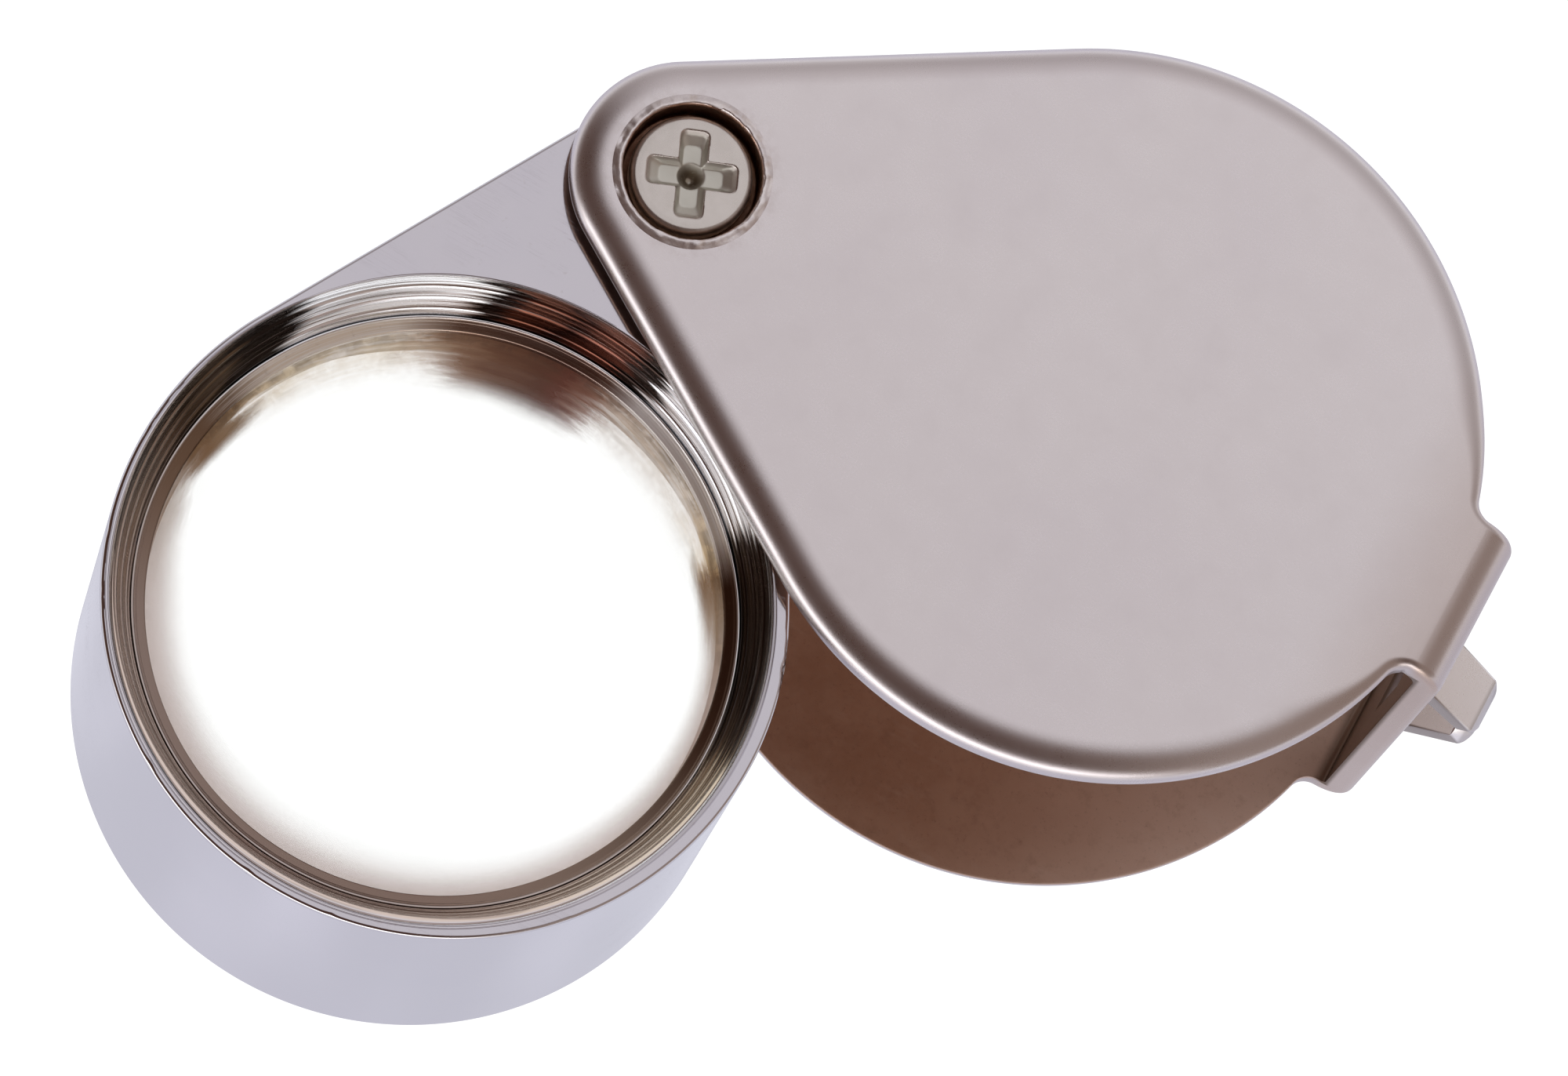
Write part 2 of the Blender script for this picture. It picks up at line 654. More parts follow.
def build_front_ring():
    low, top = front_ring_low.z, front_ring_high.z
    profile = [  # radius, z
        (FRONT_RING_IN, low + 0.25), (RING_R, low), (RING_R, top - 0.06),
        (RING_R - 0.02, top - 0.01), (RING_R - 0.05, top), (RING_R - 0.09, top - 0.015),
        (RING_R - 0.11, top - 0.05), (RING_R - 0.15, top - 0.07), (RING_R - 0.19, top - 0.10),
        (RING_R - 0.24, top - 0.15), (FRONT_RING_IN + 0.06, top - 0.20),
        (FRONT_RING_IN + 0.02, top - 0.24), (FRONT_RING_IN, top - 0.30)]
    return turn(smooth(lathe("front_ring_polished", profile, 256, BORE_AXIS), 40, False))


def build_rear_ring():
    low = rear_ring_low.z
    profile = [  # radius, z
        (REAR_RING_IN, low + 0.7), (REAR_RING_IN, low + 0.5), (REAR_RING_IN + 0.02, low + 0.45),
        (REAR_RING_IN + 0.1, low + 0.38), (RING_R - 0.16, low + 0.03), (RING_R - 0.10, low),
        (RING_R - 0.05, low), (RING_R, low + 0.05), (RING_R, low + 0.7)]
    return turn(smooth(lathe("rear_ring_polished", profile, 256, BORE_AXIS), 40, False))


def build_spacer():
    """Tube between the lenses with fine grooves inside."""
    low, top = spacer_low.z, spacer_high.z
    profile = [(RING_R - 0.02, low), (RING_R - 0.02, top), (SPACER_IN, top - 0.25)]
    z = top - 0.3
    k = 0
    while z > low + 0.3:
        groove = SPACER_IN + 0.055 + 0.012 * math.sin(k * 1.7)
        profile += [(SPACER_IN, z), (groove, z - 0.055)]
        z -= 0.11
        k += 1
    profile.append((SPACER_IN, low + 0.25))
    return turn(smooth(lathe("brass_spacer_tube", profile, 256, BORE_AXIS), 20, False))


# ------------------------------------------------------------------ node helpers
def rgb(colour):
    """A colour as it is, or a grey level as a colour."""
    return colour if isinstance(colour, tuple) else (colour,) * 3


class Value:
    """An output socket. Arithmetic on it adds Math nodes to its tree."""

    def __init__(self, tree, socket):
        self.tree = tree
        self.socket = socket

    def __add__(self, other):
        return self.tree.math('ADD', self, other)

    def __radd__(self, other):
        return self.tree.math('ADD', other, self)

    def __sub__(self, other):
        return self.tree.math('SUBTRACT', self, other)

    def __rsub__(self, other):
        return self.tree.math('SUBTRACT', other, self)

    def __mul__(self, other):
        return self.tree.math('MULTIPLY', self, other)

    def __truediv__(self, other):
        return self.tree.math('DIVIDE', self, other)

    def __abs__(self):
        return self.tree.math('ABSOLUTE', self)

    def step(self, off, on):
        """0 at off, 1 at on, smooth between and level beyond; off may be the larger."""
        return self.tree.value(
            "MapRange", {"Value": self, "From Min": min(off, on), "From Max": max(off, on),
                         "To Min": float(off > on), "To Max": float(off <= on)},
            interpolation_type='SMOOTHSTEP', clamp=True)


class Tree:
    """Node tree of a material or world."""

    def __init__(self, owner):
        self.owner = owner
        owner.use_nodes = True
        self.nodes = owner.node_tree.nodes
        self.links = owner.node_tree.links
        self.nodes.clear()

    def put(self, socket, value):
        if isinstance(value, Value):
            self.links.new(value.socket, socket)
        elif socket.type == 'RGBA':
            socket.default_value = (*value, 1.0)
        else:
            socket.default_value = value

    def node(self, kind, inputs=None, **settings):
        node = self.nodes.new("ShaderNode" + kind)
        for key, value in settings.items():
            setattr(node, key, value)
        for key, value in (inputs or {}).items():
            self.put(node.inputs[key], value)
        return node

    def value(self, kind, inputs=None, output=0, **settings):
        return Value(self, self.node(kind, inputs, **settings).outputs[output])

    def math(self, operation, first, second=None):
        inputs = {0: first} if second is None else {0: first, 1: second}
        return self.value("Math", inputs, operation=operation)

    def vmath(self, operation, first, second=None, scale=None):
        inputs = {0: first}
        if second is not None:
            inputs[1] = second
        if scale is not None:
            inputs["Scale"] = scale
        output = "Value" if operation in ("DOT_PRODUCT", "LENGTH") else 0
        return self.value("VectorMath", inputs, output, operation=operation)

    def ramp(self, factor, stops, mode='LINEAR'):
        """stops are (position, colour or grey level)."""
        node = self.node("ValToRGB", {0: factor})
        node.color_ramp.interpolation = mode
        elements = node.color_ramp.elements
        while len(elements) > 1:
            elements.remove(elements[-1])
        for i, (position, colour) in enumerate(stops):
            element = elements.new(position) if i else elements[0]
            element.position = position
            element.color = (*rgb(colour), 1.0)
        return Value(self, node.outputs[0])

    def mix(self, first, second, factor, amount=None, blend='MIX'):
        """From first to second by factor, times amount when it is given."""
        if amount is not None:
            factor = factor * amount
        # sockets 6, 7 and output 2 are the node's colour ones
        return self.value("Mix", {0: factor, 6: first, 7: second}, 2,
                          data_type='RGBA', blend_type=blend)

    def noise(self, point, scale, detail=2.0, rough=0.5, distortion=0.0):
        return self.value("TexNoise", {"Vector": point, "Scale": scale, "Detail": detail,
                                       "Roughness": rough, "Distortion": distortion}, "Fac")

    def round_noise(self, angle, around, along, detail, rough):
        """Noise wrapped round a circle: around sets its rate there, along is the third axis."""
        point = self.join(self.math('COSINE', angle) * around,
                          self.math('SINE', angle) * around, along)
        return self.noise(point, scale=1.0, detail=detail, rough=rough)

    def mm(self):
        """Object coordinates in millimetres."""
        return self.vmath('SCALE', self.value("TexCoord", output="Object"), scale=1000.0)

    def split(self, vector):
        return [Value(self, out) for out in self.node("SeparateXYZ", {0: vector}).outputs]

    def join(self, x, y, z):
        return self.value("CombineXYZ", {0: x, 1: y, 2: z})

    def length(self, x, y):
        return self.vmath('LENGTH', self.join(x, y, 0.0))

    def bump(self, height, distance, strength, normal=None):
        """distance is in metres."""
        inputs = {"Strength": strength, "Distance": distance, "Height": height}
        if normal is not None:
            inputs["Normal"] = normal
        return self.value("Bump", inputs)

    def scratches(self, point, count, width, seed):
        """Thin straight marks in a few directions, 0 to 1."""
        total = None
        for k in range(count):
            stretched = self.value("Mapping", {
                "Vector": point, "Rotation": (0.3 * k, 0.2, seed + k * 1.13),
                "Location": (seed * 3.7 + k, k * 2.2, seed), "Scale": (0.06, 2.2, 0.35)})
            contour = abs(self.noise(stretched, scale=2.6, rough=0.6) - 0.5)
            patches = self.noise(point, scale=0.25 + 0.1 * k, detail=1.0)
            line = contour.step(off=width, on=0.0) * patches.step(off=0.55, on=0.66)
            total = line if total is None else self.math('MAXIMUM', total, line)
        return total

    def surface(self, shader, kind="OutputMaterial"):
        self.node(kind, {"Surface": shader})
        return self.owner

    def metal(self, colour, rough, normal, metallic=1.0, extra=None):
        return self.surface(self.value("BsdfPrincipled", {
            "Metallic": metallic, "Base Color": colour, "Roughness": rough, "Normal": normal,
            **(extra or {})}))

    def mix_shaders(self, factor, first, second):
        return self.value("MixShader", {0: factor, 1: first, 2: second})

    def emission(self, colour, strength):
        return self.value("Emission", {"Color": colour, "Strength": strength})

    def seen_directly(self):
        """1 for rays from the camera or through glass, 0 for reflections and light."""
        path = self.node("LightPath")
        return self.math('MAXIMUM', Value(self, path.outputs["Is Camera Ray"]),
                         Value(self, path.outputs["Is Transmission Ray"]))


def material_tree(name):
    return Tree(bpy.data.materials.new(name))


# ------------------------------------------------------------------ bore coordinates
RAMP_START = 61.0      # where the ramps round the bore start, as the camera sees it, in degrees


def bore_coords(tree):
    """Position in mm, then position, x, y, z, radius and angle from the bore's axis.

    All but the first are in the barrel's own frame, before its turn to the rest pose.
    """
    point = tree.mm()
    turned_back = tree.value("VectorRotate", {"Vector": point, "Angle": -REST},
                             rotation_type='Z_AXIS')
    local = tree.vmath('SUBTRACT', turned_back, (*BORE_AXIS, 0.0))
    x, y, z = tree.split(local)
    return point, local, (x, y, z), tree.length(x, y), tree.math('ARCTAN2', y, x)


def turn_part(angle):
    """Angle round the bore as a ramp position."""
    return angle / (2 * math.pi) + 0.5


def round_ramp(pairs):
    """Ramp stops round the bore from (degrees, colour or grey).

    Degrees run anticlockwise from the camera's right. Both ends of the ramp get one colour.
    """
    stops = sorted((((degrees - RAMP_START) / 360.0) % 1.0, rgb(colour))
                   for degrees, colour in pairs)
    (first, first_colour), (last, last_colour) = stops[0], stops[-1]
    part = (1.0 - last) / max(1e-6, 1.0 - last + first)
    seam = tuple(a + (b - a) * part for a, b in zip(last_colour, first_colour))
    return [(0.0, seam)] + stops + [(1.0, seam)]


# ------------------------------------------------------------------ case materials
def case_colour(tree, point, x, y, z, cloud):
    """Outer skin, with the film and stains on it."""
    broad = tree.noise(point, scale=0.10)
    base = tree.mix((0.700, 0.654, 0.660), (0.678, 0.630, 0.644), broad.step(off=0.35, on=0.65))
    base = tree.mix(base, (0.635, 0.585, 0.595), y.step(off=14.0, on=-14.0), amount=0.5)
    base = tree.mix(base, (0.55, 0.505, 0.50), cloud.step(off=0.50, on=0.80), amount=0.06)
    # handling film: near the bend and on the strap's -Y cut edge
    base = tree.mix(base, (0.52, 0.435, 0.40), x.step(off=25.6, on=30.2), amount=0.62)
    flank = x.step(off=FRONT_END + 0.2, on=FRONT_END + 0.6) * y.step(off=-2.84, on=-2.93)
    base = tree.mix(base, tree.mix((0.61, 0.505, 0.455), (0.55, 0.44, 0.385),
                                   z.step(off=3.0, on=15.0)), flank)
    # lanyard loop: bright band, dark sides, duller crown, dirt along its root
    loop = x.step(off=STRAP_X + 0.05, on=STRAP_X + 0.2)
    base = tree.mix(base, (0.91, 0.87, 0.86), loop)
    side = loop * abs(y - LOOP_Y).step(off=LOOP_HALF_W - 0.13, on=LOOP_HALF_W - 0.05)
    base = tree.mix(base, (0.30, 0.25, 0.225), side, amount=0.9)
    crown = x.step(off=LOOP_X - 0.42, on=LOOP_X - 0.25)
    base = tree.mix(base, (0.50, 0.465, 0.455), crown, amount=0.7)
    root = (abs(x - (STRAP_X + 0.03)).step(off=0.075, on=0.03)
            * tree.noise(point, scale=2.6, detail=3.0, rough=0.7).step(off=0.44, on=0.53))
    beyond = tree.math('MAXIMUM', abs(y - LOOP_Y) - LOOP_HALF_W, abs(z - LOOP_Z) - LOOP_HALF_Z)
    root = root * (beyond.step(off=0.26, on=0.08) * beyond.step(off=-0.06, on=0.0))
    base = tree.mix(base, (0.07, 0.05, 0.045), root, amount=0.85)
    # plating stains round the front pivot seat
    near_seat = (tree.length(x, y).step(off=3.5, on=2.5)
                 * z.step(off=CASE_TOP - 0.3, on=CASE_TOP - 0.1))
    patches = tree.noise(point, scale=1.6, detail=4.0, rough=0.7).step(off=0.42, on=0.68)
    return tree.mix(base, (0.30, 0.22, 0.18), near_seat * patches, amount=0.22)


def case_brown(tree, point, x, y, z):
    """The unpolished inside of the fold, brown with handling."""
    dirt = tree.noise(point, scale=0.55, detail=4.0, rough=0.65)
    brown = tree.mix((0.54, 0.350, 0.250), (0.60, 0.41, 0.305), dirt.step(off=0.3, on=0.7))
    brown = tree.mix(brown, (0.66, 0.495, 0.41), x.step(off=15.5, on=28.5))
    blotches = tree.noise(point, scale=1.7, detail=5.0, rough=0.72)
    brown = tree.mix(brown, (0.40, 0.26, 0.19), blotches.step(off=0.50, on=0.72), amount=0.30)
    flecks = tree.noise(point, scale=7.5, detail=3.0, rough=0.7)
    brown = tree.mix(brown, (0.33, 0.22, 0.17), flecks.step(off=0.60, on=0.72), amount=0.35)
    rubs = tree.noise(tree.join(x * 0.35, y * 1.2, z), scale=1.3, detail=3.0, rough=0.6)
    brown = tree.mix(brown, (0.72, 0.58, 0.50), rubs.step(off=0.55, on=0.75), amount=0.22)
    wall = STRAP_X - SHEET
    return tree.mix(brown, (0.20, 0.14, 0.105), x.step(off=wall - 0.6, on=wall - 0.12))


def case_material():
    tree = material_tree("satin_nickel_sheet")
    point = tree.mm()
    x, y, z = tree.split(point)
    cloud = tree.noise(point, scale=0.7, detail=4.0, rough=0.6)
    grain = tree.noise(point, scale=14.0, detail=3.0, rough=0.65)
    pits = tree.noise(point, scale=34.0, rough=0.6)
    marks = tree.scratches(point, count=2, width=0.005, seed=1.3) * 0.12
    under = CASE_TOP - SHEET
    inside = (z.step(off=SHEET - 0.12, on=SHEET - 0.03)
              * z.step(off=under + 0.12, on=under + 0.02))
    inside = inside * x.step(off=STRAP_X - SHEET + 0.22, on=STRAP_X - SHEET + 0.05)
    base = tree.mix(case_colour(tree, point, x, y, z, cloud),
                    case_brown(tree, point, x, y, z), inside)
    # satin level, its share of each texture, duller inside, shinier along marks
    rough = (0.29 + (cloud - 0.5) * 0.08 + (grain - 0.5) * 0.10 + inside * 0.12
             - marks * 0.06)
    relief = grain * 0.8 + pits * 0.6 - marks * 0.7
    normal = tree.bump(relief, distance=0.0000020, strength=0.7)
    normal = tree.bump(cloud, distance=0.000003, strength=0.25, normal=normal)
    return tree.metal(base, rough, normal)


def seat_material():
    tree = material_tree("pressed_pivot_seat")
    point = tree.mm()
    x, y, z = tree.split(point)
    radius = tree.length(x, y)
    cloud = tree.noise(point, scale=1.3, detail=4.0, rough=0.65)
    grain = tree.noise(point, scale=14.0, detail=3.0, rough=0.65)
    # the wells of the front and the rear seat, told apart by height
    split_z = SEAT_DEPTH * 0.5
    front = radius.step(off=2.49, on=2.44) * z.step(off=split_z, on=split_z + 0.01)
    rear = radius.step(off=2.53, on=2.46) * z.step(off=split_z, on=0.02)
    well = tree.math('MAXIMUM', front, rear)
    dark = tree.mix((0.30, 0.165, 0.11), (0.50, 0.32, 0.24), cloud.step(off=0.35, on=0.7))
    rim = tree.mix((0.80, 0.75, 0.745), (0.63, 0.555, 0.52), cloud.step(off=0.46, on=0.66))
    worn = (radius.step(off=2.86, on=2.70)
            * tree.noise(point, scale=3.4, detail=4.0, rough=0.7).step(off=0.36, on=0.6))
    base = tree.mix(tree.mix((0.71, 0.66, 0.665), rim, worn), dark, well)
    normal = tree.bump(grain + cloud * 0.6, distance=0.000006, strength=0.7)
    return tree.metal(base, 0.26 + grain * 0.14, normal)


def screw_material():
    tree = material_tree("dull_nickel_screw")
    point = tree.mm()
    x, y, z = tree.split(point)
    radius = tree.length(x, y)
    cloud = tree.noise(point, scale=1.3, detail=4.0, rough=0.6)
    grain = tree.noise(point, scale=16.0, detail=3.0, rough=0.6)
    swirl = tree.noise(tree.join(x * 0.4, y * 0.4, radius * 5.0),
                       scale=1.0, detail=3.0, rough=0.6)
    base = tree.mix((0.62, 0.575, 0.545), (0.54, 0.50, 0.465), cloud)
    # paler walls of the recess, dirt at its bottom, dark patches on the head's rim
    recess = z.step(off=CASE_TOP - 0.29, on=CASE_TOP - 0.50)
    base = tree.mix(base, (0.72, 0.73, 0.65), recess, amount=0.6)
    dirt = (z.step(off=CASE_TOP - 0.62, on=CASE_TOP - 0.95)
            * tree.noise(point, scale=3.0, detail=3.0, rough=0.6).step(off=0.30, on=0.50))
    base = tree.mix(base, (0.22, 0.16, 0.10), dirt, amount=0.75)
    rim = (radius.step(off=1.93, on=2.06)
           * tree.noise(point, scale=2.2, detail=3.0).step(off=0.4, on=0.7))
    base = tree.mix(base, (0.30, 0.24, 0.20), rim, amount=0.4)
    # dull level, clouding, rougher inside the recess
    rough = (0.27 + (cloud - 0.5) * 0.12
             + z.step(off=CASE_TOP - 0.27, on=CASE_TOP - 0.33) * 0.20)
    normal = tree.bump(grain * 0.5 + swirl * 0.8, distance=0.000003, strength=0.7)
    normal = tree.bump(cloud, distance=0.00002, strength=0.35, normal=normal)
    return tree.metal(base, rough, normal)


def post_material():
    tree = material_tree("dull_nickel_post")
    point = tree.mm()
    x, y, _ = tree.split(point)
    swirl = tree.noise(tree.join(x * 0.3, y * 0.3, tree.length(x, y) * 6.0),
                       scale=1.0, detail=3.0, rough=0.6)
    cloud = tree.noise(point, scale=1.1, detail=4.0, rough=0.6)
    base = tree.mix((0.64, 0.61, 0.59), (0.55, 0.52, 0.49), cloud)
    normal = tree.bump(swirl + cloud * 0.5, distance=0.000006, strength=0.7)
    return tree.metal(base, 0.26 + swirl * 0.12, normal)


def washer_material(name, light, dark, metallic, rough):
    tree = material_tree(name)
    point = tree.mm()
    cloud = tree.noise(point, scale=1.4, detail=4.0, rough=0.6)
    grain = tree.noise(point, scale=12.0, detail=3.0, rough=0.6)
    normal = tree.bump(grain + cloud, distance=0.000004, strength=0.6)
    return tree.metal(tree.mix(light, dark, cloud), rough + grain * 0.12, normal, metallic)


# ------------------------------------------------------------------ barrel materials
# Colour round the mouth of the bore: heat tint, old lacquer, bright arcs
MOUTH_TINT = round_ramp([
    (180, (0.66, 0.56, 0.50)), (160, (0.50, 0.42, 0.36)), (148, (0.34, 0.27, 0.22)),
    (143, (0.17, 0.125, 0.09)), (134, (0.17, 0.125, 0.085)), (130, (0.035, 0.026, 0.022)),
    (118, (0.03, 0.024, 0.022)), (115, (0.95, 0.96, 1.0)), (84, (1.0, 1.0, 1.0)),
    (81, (0.03, 0.02, 0.018)), (77, (0.03, 0.02, 0.018)), (75, (0.20, 0.078, 0.05)),
    (67, (0.12, 0.045, 0.03)), (65.5, (0.03, 0.014, 0.012)), (59, (0.22, 0.088, 0.062)),
    (53, (0.17, 0.064, 0.045)), (51, (0.03, 0.02, 0.018)), (45, (0.035, 0.025, 0.022)),
    (43, (0.96, 0.96, 1.0)), (30, (0.84, 0.86, 0.93)), (16, (1.0, 1.0, 1.0)),
    (13, (0.04, 0.025, 0.02)), (-18, (0.045, 0.030, 0.022)), (-27, (0.12, 0.09, 0.065)),
    (-31, (0.74, 0.64, 0.49)), (-55, (0.80, 0.70, 0.59)), (-80, (0.74, 0.62, 0.54)),
    (-110, (0.76, 0.65, 0.58)), (-150, (0.74, 0.63, 0.56))])

# Brightness of the outer wall
WALL_TONE = round_ramp([
    (165, 0.82), (183, 0.88), (207, 1.0), (235, 1.08), (265, 1.05), (290, 0.98),
    (309, 0.83), (330, 0.84), (360, 1.0), (500, 1.0)])

# Glow of the two brightest arcs of the mouth
MOUTH_FLARE = round_ramp([
    (118, 0), (114, 1), (104, 0.7), (86, 1), (82, 0), (45, 0), (42, 0.9), (30, 0.7),
    (17, 1), (14, 0)])


def chrome_material():
    tree = material_tree("bright_chrome_plate")
    point, _, (_, _, z), radius, angle = bore_coords(tree)
    cloud = tree.noise(point, scale=0.35, detail=3.0, rough=0.55)
    fine = tree.noise(point, scale=9.0, detail=4.0, rough=0.6)
    # turned surface inside the bore: long round the circle, short across it
    turned = tree.round_noise(angle, around=1.3, along=(z + radius * 0.6) * 6.5,
                              detail=1.0, rough=0.4)
    streak = tree.round_noise(angle, around=2.2, along=(z + radius * 0.6) * 14.0,
                              detail=1.5, rough=0.5)
    in_bore = (radius.step(off=MOUTH_R + 0.12, on=MOUTH_R - 0.02)
               * z.step(off=FRONT_Z + 0.01, on=FRONT_Z - 0.05))
    marks = tree.scratches(point, count=4, width=0.006, seed=4.1)

    base = tree.mix((0.690, 0.672, 0.700), (0.670, 0.655, 0.690), cloud)
    top = (z.step(off=FRONT_Z - 0.03, on=FRONT_Z - 0.005)
           * radius.step(off=MOUTH_R - 0.05, on=MOUTH_R + 0.1))
    base = tree.mix(base, tree.mix((0.590, 0.565, 0.600), (0.560, 0.540, 0.590), cloud), top)
    place = turn_part(angle)
    toned = tree.mix(base, tree.ramp(place, WALL_TONE, 'EASE'), 1.0, blend='MULTIPLY')
    wall = 1.0 - z.step(off=FRONT_Z - 0.22, on=FRONT_Z - 0.06)
    base = tree.mix(base, toned, wall)

    # the tint's borders wander with the turning and lean with depth
    place = place + (turned - 0.5) * 0.035 + (z - (FRONT_Z - 1.0)) * 0.006
    place = tree.math('FRACT', place)
    tint = tree.ramp(place, MOUTH_TINT)
    tint = tree.mix(tint, (0.80, 0.76, 0.74), streak.step(off=0.56, on=0.70), amount=0.22)
    tint = tree.mix(tint, (0.09, 0.06, 0.045), streak.step(off=0.44, on=0.32), amount=0.30)
    base = tree.mix(base, tint, in_bore)
    edge_dirt = (tree.noise(point, scale=2.3, detail=5.0, rough=0.75).step(off=0.60, on=0.72)
                 * z.step(off=FRONT_Z - 0.4, on=FRONT_Z - 0.02))
    base = tree.mix(base, (0.42, 0.36, 0.33), edge_dirt, amount=0.22)

    # bright level, fine dulling, duller in the bore and along marks
    rough = 0.085 + fine.step(off=0.45, on=0.8) * 0.05 + in_bore * 0.08 + marks * 0.12
    relief = (fine * 0.25 + marks * -0.8) * (1.0 - in_bore)
    normal = tree.bump(relief, distance=0.0000012, strength=0.6)
    normal = tree.bump(turned * in_bore, distance=0.000005, strength=0.45, normal=normal)
    normal = tree.bump(cloud, distance=0.00002, strength=0.10, normal=normal)

    # the brightest arcs of the mouth catch light coming back off the table
    flare = tree.ramp(place, MOUTH_FLARE) * in_bore * streak.step(off=0.36, on=0.52)
    flare = flare * radius.step(off=MOUTH_R - 0.78, on=MOUTH_R - 0.70)
    for part in GROOVES:
        away = abs(z - (FRONT_Z - part * MOUTH_DEPTH))
        flare = flare * away.step(off=0.05, on=0.11)
    return tree.metal(base, rough, normal, extra={
        "Emission Color": (0.93, 0.95, 1.0), "Emission Strength": flare * 0.42})


# Brown film on the rings: (ramp position, cover)
RING_FILM = [(0.0, 0), (0.17, 0), (0.26, 0.8), (0.70, 0.85), (0.80, 0.3), (0.87, 0), (1.0, 0)]

# Colour of the rings' inner slope
RING_SLOPE = round_ramp([
    (180, (0.40, 0.315, 0.275)), (150, (0.28, 0.20, 0.145)), (134, (0.22, 0.15, 0.10)),
    (124, (0.84, 0.74, 0.61)), (98, (0.84, 0.74, 0.62)), (86, (0.40, 0.27, 0.20)),
    (66, (0.17, 0.085, 0.06)), (54, (0.26, 0.15, 0.11)), (46, (0.80, 0.76, 0.76)),
    (16, (0.74, 0.66, 0.57)), (8, (0.16, 0.10, 0.07)), (-14, (0.18, 0.125, 0.095)),
    (-34, (0.36, 0.28, 0.22)), (-90, (0.36, 0.265, 0.22))])

# Dried lacquer on the slope: paler and less like bare metal
RING_LACQUER = round_ramp([
    (180, 0), (142, 0), (128, 1), (98, 1), (85, 0.2), (57, 0.2), (47, 1), (17, 1),
    (6, 0), (-90, 0)])


def ring_material(name, tint):
    tree = material_tree(name)
    point, _, (_, _, z), radius, angle = bore_coords(tree)
    turned = tree.round_noise(angle, around=2.0, along=(z + radius) * 20.0,
                              detail=3.0, rough=0.6)
    spots = tree.noise(point, scale=3.0, detail=5.0, rough=0.7).step(off=0.58, on=0.72)
    base = tree.mix(tint, (tint[0] * 0.86, tint[1] * 0.85, tint[2] * 0.84), turned)
    place = turn_part(angle)
    base = tree.mix(base, (0.44, 0.365, 0.33), tree.ramp(place, RING_FILM))
    sloped = radius.step(off=RING_R - 0.085, on=RING_R - 0.115)
    base = tree.mix(base, tree.ramp(place, RING_SLOPE), sloped)
    lacquer = tree.ramp(place, RING_LACQUER) * sloped
    base = tree.mix(base, (0.95, 0.93, 0.90), lacquer * (turned.step(off=0.42, on=0.60) * 0.75))
    base = tree.mix(base, (0.35, 0.29, 0.24), spots, amount=0.35)
    normal = tree.bump(turned, distance=0.000006, strength=0.6)
    return tree.metal(base, 0.12 + turned * 0.10, normal, metallic=1.0 - lacquer * 0.75)


def brass_material():
    tree = material_tree("turned_brass")
    point, _, (_, _, z), _, angle = bore_coords(tree)
    turned = tree.round_noise(angle, around=1.6, along=z * 9.0, detail=4.0, rough=0.65)
    patch = tree.noise(point, scale=0.5, detail=4.0, rough=0.6)
    base = tree.mix((0.62, 0.50, 0.36), (0.40, 0.30, 0.21), patch)
    base = tree.mix(base, (0.70, 0.66, 0.60), turned.step(off=0.5, on=0.7), amount=0.5)
    normal = tree.bump(turned, distance=0.000012, strength=0.7)
    return tree.metal(base, 0.26 + turned * 0.2, normal)


# ------------------------------------------------------------------ glass
def glass_shader(tree, tint, ior):
    """Clear glass with faint smears, dull specks and a slow unevenness."""
    point = tree.mm()
    smear = tree.noise(point, scale=0.22, detail=4.0, rough=0.6, distortion=0.6)
    specks = tree.noise(point, scale=5.0).step(off=0.77, on=0.82)
    return tree.value("BsdfPrincipled", {
        "Base Color": tint, "IOR": ior, "Transmission Weight": 1.0,
        "Roughness": smear.step(off=0.55, on=0.8) * 0.010 + specks * 0.12,
        "Normal": tree.bump(tree.noise(point, scale=0.08), distance=0.000006, strength=0.3)})


def glass_material(name, tint, ior):
    tree = material_tree(name)
    return tree.surface(glass_shader(tree, tint, ior))


# How the band seen through the lens's edge changes round it: width in mm
RIM_WIDTH = round_ramp([
    (180, 1.70), (160, 1.3), (152, 0.8), (140, 0.95), (122, 1.4), (105, 1.85), (88, 2.1),
    (65, 2.3), (45, 1.95), (28, 1.5), (12, 1.1), (0, 0.95), (-15, 0.95), (-60, 1.35),
    (-120, 1.60)])
# how much it covers
RIM_DENSITY = round_ramp([
    (180, 0.57), (153, 0.58), (147, 0.93), (136, 0.90), (130, 0.62), (121, 0.55),
    (116, 0.42), (100, 0.46), (91, 0.66), (82, 0.92), (62, 0.94), (55, 0.80), (47, 0.52),
    (17, 0.55), (10, 0.88), (0, 0.80), (-14, 0.54), (-60, 0.54), (-120, 0.56)])
# how streaky it is
RIM_STREAKS = round_ramp([
    (180, 0.0), (150, 0.15), (132, 1.0), (95, 1.0), (84, 0.35), (60, 0.35), (48, 1.0),
    (14, 1.0), (4, 0.3), (-14, 0.0), (-120, 0.0)])
# its colour
RIM_COLOUR = round_ramp([
    (180, (0.52, 0.405, 0.37)), (154, (0.36, 0.26, 0.195)), (146, (0.19, 0.105, 0.055)),
    (134, (0.24, 0.15, 0.085)), (128, (0.70, 0.55, 0.38)), (120, (0.74, 0.61, 0.44)),
    (100, (0.76, 0.63, 0.47)), (94, (0.54, 0.39, 0.27)), (86, (0.24, 0.135, 0.085)),
    (77, (0.14, 0.066, 0.040)), (67, (0.10, 0.042, 0.027)), (61, (0.12, 0.043, 0.03)),
    (54, (0.24, 0.12, 0.085)), (47, (0.60, 0.48, 0.40)), (30, (0.76, 0.64, 0.54)),
    (14, (0.70, 0.51, 0.30)), (9, (0.22, 0.125, 0.065)), (0, (0.34, 0.235, 0.16)),
    (-15, (0.50, 0.385, 0.335)), (-60, (0.55, 0.43, 0.395)), (-120, (0.53, 0.415, 0.38))])


